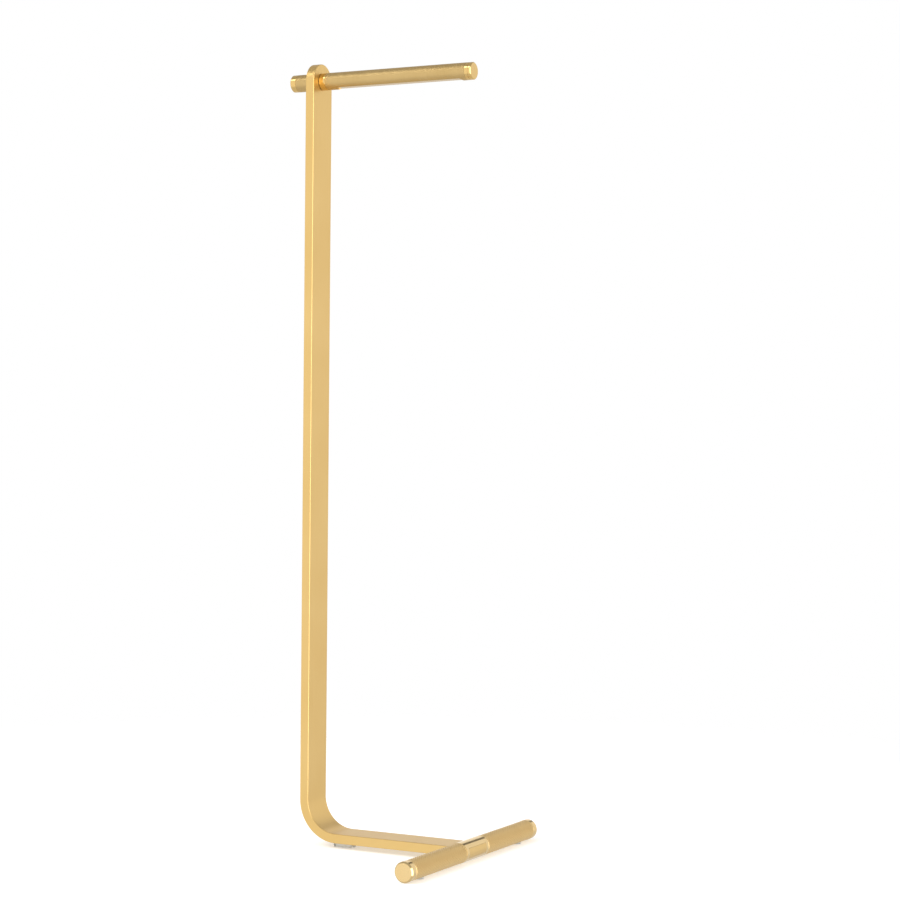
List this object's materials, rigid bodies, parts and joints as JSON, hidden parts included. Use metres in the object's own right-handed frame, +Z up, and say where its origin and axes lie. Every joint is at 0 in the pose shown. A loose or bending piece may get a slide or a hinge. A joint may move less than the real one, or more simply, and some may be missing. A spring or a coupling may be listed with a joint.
{
  "type": "freestanding toilet roll stand",
  "caption": "Free-standing toilet roll stand: bent flat-bar post and foot, round roll arm through the post's top, and a round knurled cross bar on the foot.",
  "frame": {"origin": "on the floor, at the middle of the whole stand's box", "axes": "+X the way the roll arm and the foot point, +Y along the cross bar, +Z up the post"},
  "size_m": [0.1844, 0.225, 0.667],
  "materials": {
    "satin_bar": "satin, finely brushed along the bar",
    "satin_turned": "turned, satin",
    "knurled": "fine diamond knurl, satin",
    "polished": "turned and polished",
    "steel": "zinc plated",
    "washer": "moulded nylon",
    "silicone": "clear silicone"
  },
  "bodies": {
    "root": {"arm_front_band": "polished", "arm_front_cap": "polished", "arm_front_washer": "washer", "arm_neck": "polished", "arm_rear_cap": "polished", "arm_rear_sleeve": "satin_turned", "arm_rear_washer": "washer", "arm_sleeve": "satin_turned", "arm_stud": "steel", "cross_cap_left": "polished", "cross_cap_right": "polished", "cross_hub": "polished", "cross_sleeve_left": "knurled", "cross_sleeve_right": "knurled", "cross_stud_left": "steel", "cross_stud_right": "steel", "floor_pad_left": "silicone", "floor_pad_right": "silicone", "foot_grub_screws": "steel", "heel_pad": "silicone", "stand_bar": "satin_bar"}
  },
  "joints": []
}
